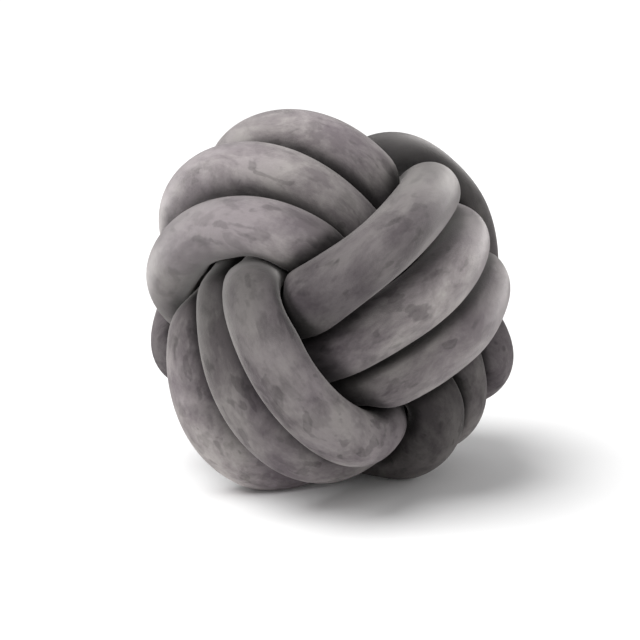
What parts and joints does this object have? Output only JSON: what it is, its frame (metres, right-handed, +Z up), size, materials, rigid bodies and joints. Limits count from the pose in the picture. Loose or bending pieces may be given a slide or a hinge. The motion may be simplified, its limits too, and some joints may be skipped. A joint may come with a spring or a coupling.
{
  "type": "knotted ball cushion",
  "caption": "Round cushion made from a long stuffed velvet tube, tied in a ball knot with its ends tucked inside.",
  "frame": {"origin": "on the surface that the cushion rests on, under the middle of its bounding box", "axes": "+Z up, -Y towards the front that the picture shows, +X to the picture's right"},
  "size_m": [0.2858, 0.31, 0.284],
  "materials": {
    "velvet": "soft matt velvet pile"
  },
  "bodies": {
    "root": {"knotted_tube": "velvet"}
  },
  "joints": []
}
